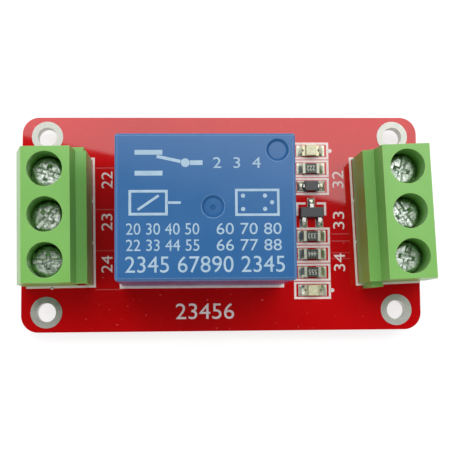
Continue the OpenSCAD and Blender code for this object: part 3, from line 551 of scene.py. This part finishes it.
def trace_edges():
    """Edges of the copper under the mask, which stand up as fine lines, paler than the mask partly from the copper
    beneath and partly as painted sheen.
    """
    bm = bmesh.new()
    rows = [(-15.0, -12.0, y) for y in (6.7, 1.7, -3.2)] + [(-15.0, -11.8, -7.8)]
    rows += [(13.1, 15.3, y) for y in (-1.35, -2.2, -3.6, -4.3)]
    width, height = 0.11, 0.012
    for x0, x1, y in rows:
        ribbon(bm, [(x0, y), (x1, y)], width, BOARD_TOP - SINK, BOARD_TOP + height)
    add_piece("trace_edges", bm, COPPER_EDGE_AND_SHEEN, "board", smooth=0)


board_print()
trace_edges()


# --- Print on the relay ---

CASE_TOP_MM = (19.0, 15.5)                    # the top that the print's places are given on
INK_LINE = 0.26
INK_BAR = 0.5


def relay_print():
    bm = bmesh.new()
    z = (CASE_HIGH.z - SINK, CASE_HIGH.z + 0.018)

    def at(x, y):
        """Place on the top, measured from its middle and stretched with it."""
        stretch = (CASE_HIGH.x - CASE_LOW.x) / CASE_TOP_MM[0], (CASE_HIGH.y - CASE_LOW.y) / CASE_TOP_MM[1]
        return (CASE_MID.x + x * stretch[0], CASE_MID.y + y * stretch[1])

    def path(points, width=INK_LINE, closed=False):
        ribbon(bm, [at(*p) for p in points], width, *z, closed)

    def changeover_contact():
        """Two fixed contacts and the blade on its pivot."""
        for y in (5.7, 3.5):
            path([(-7.4, y), (-4.5, y)], INK_BAR)
        path([(-5.1, 5.28), (-2.62, 4.73)], 0.34)
        path([(-1.62, 4.6), (-0.3, 4.6)], INK_BAR)
        prism(bm, circle(*at(-2.12, 4.6), 0.46), *z)

    def coil():
        path(rectangle(-7.9, -0.8, -4.1, 1.6), 0.28, True)
        path([(-7.1, -0.35), (-4.9, 1.15)])
        path([(-4.0, 0.4), (-2.6, 0.4)])

    def pin_layout():
        path(rectangle(3.2, -0.9, 7.6, 1.7), closed=True)
        for x, y in ((3.9, 1.1), (3.9, -0.3), (6.2, 1.1), (6.2, -0.3), (6.95, 0.4)):
            prism(bm, circle(*at(x, y), 0.22), *z)

    changeover_contact()
    coil()
    pin_layout()
    for text, middle, size in (("2  3  4", (3.3, 4.6), (5.0, 1.15)),
                               ("20 30 40 50", (-4.5, -2.35), (7.6, 1.2)),
                               ("60 70 80", (4.5, -2.35), (6.8, 1.2)),
                               ("22 33 44 55", (-4.5, -4.05), (7.6, 1.2)),
                               ("66 77 88", (4.5, -4.05), (6.8, 1.2)),
                               ("2345 67890 2345", (-0.1, -6.05), (16.6, 1.7))):
        figures(bm, text, at(*middle), size, *z)
    add_piece("relay_print", bm, INK, "board", smooth=0)


relay_print()


# --- Moulding marks in the relay's top ---

MARK_R = 1.2                                  # radius, depth and places are those of the solid case
MARK_DEPTH = 0.3
MARK_FLAT_R = 0.92                            # what the sloping rim leaves flat
MARK_AT = ((0.04, 0), (0.4, 0.385))           # shares of the case's length and width from its middle
MARK_SIDES = 40
NIPPLE = ((-SINK, 0.3), (0.06, 0.27), (0.1, 0.18), (0.03, 0.12), (0.0, 0.05))


def case_marks():
    """Sloping rims inside the two round marks, and the gate's nipple in the middle one, in a plastic painted
    darker as shade in the recesses.
    """
    bm = bmesh.new()
    size = CASE_HIGH - CASE_LOW
    brim = CASE_HIGH.z - 0.02
    floor = CASE_HIGH.z - MARK_DEPTH
    gate, ejector = ((CASE_MID.x + u * size.x, CASE_MID.y + v * size.y) for u, v in MARK_AT)
    for x, y in (gate, ejector):
        rings = [[bm.verts.new((px, py, z)) for px, py in circle(x, y, r, MARK_SIDES)]
                 for r, z in ((MARK_R, brim), (MARK_R, floor), (MARK_FLAT_R, floor))]
        for k in range(MARK_SIDES):
            n = (k + 1) % MARK_SIDES
            for a, b in ((0, 1), (1, 2), (2, 0)):
                bm.faces.new((rings[a][k], rings[a][n], rings[b][n], rings[b][k]))
    turned(bm, [(floor + z, r) for z, r in NIPPLE], 24, gate)
    add_piece("case_marks", bm, SHADED_MARK_PLASTIC, "board")


case_marks()


# --- Codes on the chip resistors ---

def chip_codes():
    bm = bmesh.new()
    size, ink_t = (0.98, 0.6), 0.008
    for number in (1, 2, 3, 4):
        node = f"resistor_{number}"
        top = box_mm(node)[1].z
        figures(bm, str(number + 1) * 3, middle_of(node), size, top - SINK, top + ink_t, quarter_turns=2)
    add_piece("chip_codes", bm, CODE_INK, "board", smooth=0)


chip_codes()


# --- Solder on the surface-mounted parts ---

CHIP_HALF = 1.0                               # half the length of a chip
PAD_TOE = 0.67                                # from a chip's end to the end of its pad
FILLET_HALF = 0.64
FILM_T = 0.012                                # solder left where a fillet runs out


def fillet(bm, side, y, z0, rise):
    """Concave fillet up one end of a chip, its height and reach a little uneven."""
    height = rise * rng.uniform(0.85, 1.08)
    reach = PAD_TOE * rng.uniform(0.92, 1.0)

    def slope(u, v):
        away = (1 + side * u) / 2
        return FILM_T + height * (1 - away) ** 1.9 * (1 - 0.9 * v ** 4)

    cushion(bm, COLUMN_X + side * (CHIP_HALF + reach / 2), y, reach / 2, FILLET_HALF, z0, slope)


def drop(bm, x, y, half, z0, height):
    def dome(u, v):
        return 0.01 + height * (1 - abs(u) ** 3) * (1 - abs(v) ** 3)

    cushion(bm, x, y, *half, z0, dome)


def surface_solder():
    """Fillets at the chips' ends, and drops round the leads of the diode and the transistor."""
    bm = bmesh.new()
    for name in CHIP_NODES:
        y = middle_of(name).y
        for side in (-1, 1):
            if name == "flyback_diode":
                drop(bm, COLUMN_X + side * 1.22, y, (0.46, 0.58), box_mm("diode_leads")[0].z, 0.34)
            elif name in LAMPS:
                fillet(bm, side, y, box_mm(name)[0].z, 0.34)
            else:
                fillet(bm, side, y, box_mm("resistor_end_caps")[0].z, 0.42)
    foot = box_mm("transistor_leads")[0].z
    y = middle_of("transistor").y
    lead_y = 1.28
    drop(bm, COLUMN_X, y + lead_y, (0.42, 0.5), foot, 0.2)
    for side in (-1, 1):
        drop(bm, COLUMN_X + side * 0.95, y - lead_y, (0.4, 0.48), foot, 0.18)
    add_piece("chip_solder", bm, SLOTS["solder"], "board", smooth=50, replaces=["surface_solder"])


surface_solder()


# --- Clamp screws ---

SLOT_ANGLES = {"output": (-20, 45, 0), "input": (75, -60, 70)}    # as each screw was left, in its block
SHANK_R = 1.25
THREAD_PITCH = 0.45
THREAD_DEPTH = 0.17
THREAD_RUN_OUT = 0.25                         # length in which the thread fades at its ends
END_TAPER = 0.12
HEAD_T = 1.17
HEAD_BEVEL = 0.08
FLAT_R = 1.3
CROSS_DEPTH = 0.34
SLOT_DEPTH = 0.24
LEAD_IN = 0.07
ABOVE = 0.2                                   # how far a cutter stands over the head


def loose_object(bm):
    mesh = bpy.data.meshes.new("loose")
    bmesh.ops.recalc_face_normals(bm, faces=bm.faces)
    bm.to_mesh(mesh)
    bm.free()
    obj = bpy.data.objects.new("loose", mesh)
    bpy.context.scene.collection.objects.link(obj)
    return obj


def carve(solid, tools):
    """The solid with the tools cut out of it, all as bmeshes."""
    host = loose_object(solid)
    cutters = [loose_object(tool) for tool in tools]
    for cutter in cutters:
        modifier = host.modifiers.new("cut", "BOOLEAN")
        modifier.operation = "DIFFERENCE"
        modifier.solver = "EXACT"
        modifier.object = cutter
    bpy.context.view_layer.update()
    mesh = bpy.data.meshes.new_from_object(host.evaluated_get(bpy.context.evaluated_depsgraph_get()))
    result = bmesh.new()
    result.from_mesh(mesh)
    bpy.data.meshes.remove(mesh)
    for obj in [host, *cutters]:
        bpy.data.meshes.remove(obj.data)
    return result


def frustum(low, high):
    """Box that narrows; each end is its height, half length and half width."""
    bm = bmesh.new()
    ends = [[bm.verts.new((sx * hx, sy * hy, z)) for sx, sy in ((-1, -1), (1, -1), (1, 1), (-1, 1))]
            for z, hx, hy in (low, high)]
    bm.faces.new(list(reversed(ends[0])))
    bm.faces.new(ends[1])
    for k in range(4):
        n = (k + 1) % 4
        bm.faces.new((ends[0][k], ends[0][n], ends[1][n], ends[1][k]))
    return bm


def screw_rings(tip, under, crown, head_r):
    """Shank with its thread, then the round-edged head."""
    def thread(z):
        ease = max(0, min(1, (z - tip) / THREAD_RUN_OUT, (under - z) / THREAD_RUN_OUT))

        def radius(angle):
            phase = ((z - tip) / THREAD_PITCH - angle / (2 * math.pi)) % 1
            return SHANK_R - THREAD_DEPTH * ease * (1 - abs(2 * phase - 1)) - END_TAPER * (1 - ease)
        return radius

    steps = int((under - tip) / (THREAD_PITCH / 6))
    levels = [tip + (under - tip) * k / steps for k in range(steps + 1)]
    rings = [(z, thread(z)) for z in levels]
    shoulder = (under + crown) / 2
    rings += [(under, head_r - HEAD_BEVEL), (under + HEAD_BEVEL, head_r), (shoulder, head_r)]
    curve_steps = 8
    for k in range(1, curve_steps + 1):
        a = math.radians(90 * k / curve_steps)
        z = shoulder + (crown - shoulder) * math.sin(a)
        rings.append((z, FLAT_R + (head_r - FLAT_R) * math.cos(a)))
    return rings


def head_cutters(crown):
    """Long slot with its lead-in, and the two arms of the cross, as half lengths and half widths."""
    over = crown + ABOVE
    past = 3                                  # beyond the head's edge
    slot = frustum((crown - SLOT_DEPTH, past, 0.2), (over, past, 0.36))
    lead_in = frustum((crown - LEAD_IN, past, 0.3), (over, past, 0.57))
    across = frustum((crown - CROSS_DEPTH, 0.6, 0.14), (over, 1.25, 0.36))
    beside = frustum((crown - CROSS_DEPTH, 0.14, 0.6), (over, 0.36, 1.25))
    return [slot, lead_in, across, beside]


def clamp_screw(side, number):
    node = f"{side}_screw_{number}"
    low, high = box_mm(node)
    crown = high.z
    solid = bmesh.new()
    turned(solid, screw_rings(low.z, crown - HEAD_T, crown, (high.x - low.x) / 2 - 0.01))
    bm = carve(solid, head_cutters(crown))
    inward = block_frame(side)[2]
    turn = math.atan2(inward.y, inward.x) + math.radians(SLOT_ANGLES[side][number - 1])
    centre = Vector(JOINTS[node + "_turn"]["pos_m"]) / MM
    place = Matrix.Translation((centre.x, centre.y, 0)) @ Matrix.Rotation(turn, 4, "Z")
    bmesh.ops.transform(bm, matrix=place, verts=bm.verts)
    add_piece(node + "_detail", bm, SLOTS["screw"], node, smooth=30, replaces=[node])


for side in ("output", "input"):
    for number in (1, 2, 3):
        clamp_screw(side, number)


# --- Light, floor and background ---

def soft_box(name, centre, aim, size, radiance, roll=0.0):
    """Rectangular lamp of the given radiance, rolled about its own axis."""
    data = bpy.data.lights.new(name, "AREA")
    data.shape = "RECTANGLE"
    data.size, data.size_y = (s * MM for s in size)
    data.energy = radiance * math.pi * data.size * data.size_y
    obj = bpy.data.objects.new(name, data)
    forward = (Vector(aim) - Vector(centre)).normalized()
    facing = forward.to_track_quat("-Z", "Y").to_matrix().to_4x4()
    spun = facing @ Matrix.Rotation(math.radians(roll), 4, "Z")
    obj.matrix_world = Matrix.Translation(Vector(centre) * MM) @ spun
    bpy.context.scene.collection.objects.link(obj)


soft_box("window", (35, 156, 300), (35, 156, 0), (520, 220), 3.1, roll=-12)
soft_box("side_fill", (-320, -120, 170), (0, 0, 0), (260, 180), 1.9)


def node_in(tree, kind, **values):
    made = tree.nodes.new(kind)
    for key, value in values.items():
        made.inputs[key.replace("_", " ")].default_value = value
    return made


def any_ray(tree, *names):
    """1 for a ray of any of the named kinds."""
    path = tree.nodes.new("ShaderNodeLightPath")
    total = path.outputs[names[0]]
    for name in names[1:]:
        both = tree.nodes.new("ShaderNodeMath")
        both.operation = "MAXIMUM"
        tree.links.new(total, both.inputs[0])
        tree.links.new(path.outputs[name], both.inputs[1])
        total = both.outputs[0]
    return total


def pale_world():
    """White to the camera, a dim ceiling over a white horizon to gloss, and a soft fill to the rest."""
    world = bpy.data.worlds.new("studio")
    bpy.context.scene.world = world
    world.use_nodes = True
    tree = world.node_tree
    tree.nodes.clear()
    link = tree.links.new
    white = node_in(tree, "ShaderNodeBackground", Color=(1, 1, 1, 1), Strength=1.0)
    fill = node_in(tree, "ShaderNodeBackground", Color=(0.98, 0.98, 1, 1), Strength=0.58)
    ceiling = tree.nodes.new("ShaderNodeBackground")
    parts = tree.nodes.new("ShaderNodeSeparateXYZ")
    link(tree.nodes.new("ShaderNodeTexCoord").outputs["Generated"], parts.inputs[0])
    shade = tree.nodes.new("ShaderNodeValToRGB")
    horizon, ceiling_foot = (0.35, 1.0), (0.88, 0.035)
    for element, (position, level) in zip(shade.color_ramp.elements, (horizon, ceiling_foot)):
        element.position = position
        element.color = (level, level, level, 1)
    link(parts.outputs["Z"], shade.inputs[0])
    link(shade.outputs[0], ceiling.inputs["Color"])
    gloss = tree.nodes.new("ShaderNodeMixShader")
    link(any_ray(tree, "Is Glossy Ray", "Is Transmission Ray"), gloss.inputs[0])
    link(fill.outputs[0], gloss.inputs[1])
    link(ceiling.outputs[0], gloss.inputs[2])
    seen = tree.nodes.new("ShaderNodeMixShader")
    link(any_ray(tree, "Is Camera Ray"), seen.inputs[0])
    link(gloss.outputs[0], seen.inputs[1])
    link(white.outputs[0], seen.inputs[2])
    link(seen.outputs[0], tree.nodes.new("ShaderNodeOutputWorld").inputs["Surface"])


def pale_floor():
    """White floor that keeps the object's shadow, glows more far away and is clear from underneath."""
    bm = bmesh.new()
    half, z = 900, CAD_BOX[0][2] / MM
    bm.faces.new([bm.verts.new((x, y, z)) for x, y in rectangle(-half, -half, half, half)])
    bmesh.ops.scale(bm, vec=(MM, MM, MM), verts=bm.verts)
    mesh = bpy.data.meshes.new("floor")
    bm.to_mesh(mesh)
    bm.free()
    material = bpy.data.materials.new("floor")
    material.use_nodes = True
    tree = material.node_tree
    tree.nodes.clear()
    paper = node_in(tree, "ShaderNodeBsdfDiffuse", Color=(0.44, 0.44, 0.44, 1))
    glow = tree.nodes.new("ShaderNodeEmission")
    distance = tree.nodes.new("ShaderNodeVectorMath")
    distance.operation = "LENGTH"
    tree.links.new(tree.nodes.new("ShaderNodeTexCoord").outputs["Object"], distance.inputs[0])
    rise = node_in(tree, "ShaderNodeMapRange", From_Min=0.08, From_Max=0.4, To_Min=0.68, To_Max=1.0)
    tree.links.new(distance.outputs["Value"], rise.inputs["Value"])
    tree.links.new(rise.outputs[0], glow.inputs["Strength"])
    lit = tree.nodes.new("ShaderNodeMixShader")
    tree.links.new(any_ray(tree, "Is Camera Ray", "Is Glossy Ray", "Is Transmission Ray"), lit.inputs[0])
    both = tree.nodes.new("ShaderNodeAddShader")
    tree.links.new(paper.outputs[0], both.inputs[0])
    tree.links.new(glow.outputs[0], both.inputs[1])
    tree.links.new(paper.outputs[0], lit.inputs[1])
    tree.links.new(both.outputs[0], lit.inputs[2])
    below = tree.nodes.new("ShaderNodeMixShader")
    tree.links.new(tree.nodes.new("ShaderNodeNewGeometry").outputs["Backfacing"], below.inputs[0])
    tree.links.new(lit.outputs[0], below.inputs[1])
    tree.links.new(tree.nodes.new("ShaderNodeBsdfTransparent").outputs[0], below.inputs[2])
    tree.links.new(below.outputs[0], tree.nodes.new("ShaderNodeOutputMaterial").inputs["Surface"])
    mesh.materials.append(material)
    floor = bpy.data.objects.new("floor", mesh)
    bpy.context.scene.collection.objects.link(floor)


pale_world()
pale_floor()
